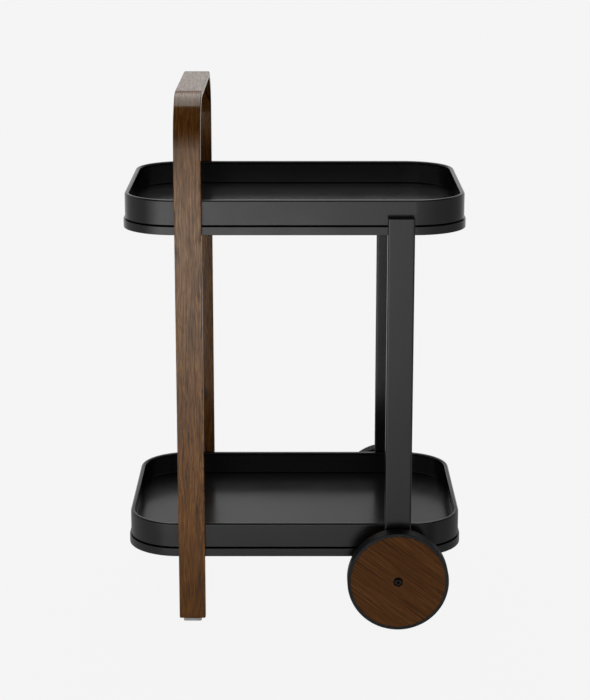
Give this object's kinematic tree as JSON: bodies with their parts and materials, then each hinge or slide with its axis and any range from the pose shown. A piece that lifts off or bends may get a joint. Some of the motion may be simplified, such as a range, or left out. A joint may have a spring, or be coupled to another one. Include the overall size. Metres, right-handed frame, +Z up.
{
  "type": "bar cart on wheels",
  "caption": "Two-tier serving cart: a bent wooden strip forms the handle and two legs, steel posts carry wooden wheels, and lift-off trays with rounded corners rest on flanged shelves.",
  "frame": {"origin": "on the floor, below the middle of the shelves", "axes": "+Z up; +X from the wooden handle towards the wheels; -Y is the front and +Y the back, which mirror each other"},
  "size_m": [0.516, 0.4788, 0.8073],
  "materials": {
    "walnut": "satin lacquered dark walnut",
    "black_steel": "fine satin black powder coat",
    "black_plastic": "matt black moulded plastic",
    "black_bolt": "black oxide",
    "zinc_steel": "zinc plated",
    "soft_rubber": "matt black rubber",
    "tyre_rubber": "matt dark grey rubber",
    "pale_nylon": "off-white moulded nylon"
  },
  "bodies": {
    "cart": {"wood_frame": "walnut", "leg_glides": "pale_nylon", "upper_shelf": "black_steel", "lower_shelf": "black_steel", "upper_tray_pads": "soft_rubber", "lower_tray_pads": "soft_rubber", "front_post": "black_steel", "rear_post": "black_steel", "front_post_cap": "black_plastic", "rear_post_cap": "black_plastic", "front_post_plug": "black_plastic", "rear_post_plug": "black_plastic", "leg_inserts": "zinc_steel", "leg_screws": "zinc_steel", "post_nuts": "zinc_steel", "post_screws": "zinc_steel", "front_axle_boss": "zinc_steel", "rear_axle_boss": "zinc_steel", "front_axle_bolt": "black_bolt", "rear_axle_bolt": "black_bolt", "front_spacer": "black_plastic", "rear_spacer": "black_plastic"},
    "upper_tray_body": {"upper_tray": "black_steel"},
    "lower_tray_body": {"lower_tray": "black_steel"},
    "front_wheel": {"front_wheel_disc": "walnut", "front_tyre": "tyre_rubber", "front_bush": "black_plastic"},
    "rear_wheel": {"rear_wheel_disc": "walnut", "rear_tyre": "tyre_rubber", "rear_bush": "black_plastic"}
  },
  "joints": [
    {"name": "front_wheel_spin", "type": "hinge", "parent": "cart", "child": "front_wheel", "pos_m": [0.1568, -0.2249, 0.077], "axis": [0, 1, 0], "continuous": true},
    {"name": "rear_wheel_spin", "type": "hinge", "parent": "cart", "child": "rear_wheel", "pos_m": [0.1568, 0.2249, 0.077], "axis": [0, 1, 0], "continuous": true},
    {"name": "upper_tray_lift", "type": "slide", "parent": "cart", "child": "upper_tray_body", "axis": [0, 0, 1], "range_m": [0, 0.08]},
    {"name": "lower_tray_lift", "type": "slide", "parent": "cart", "child": "lower_tray_body", "axis": [0, 0, 1], "range_m": [0, 0.08]}
  ]
}
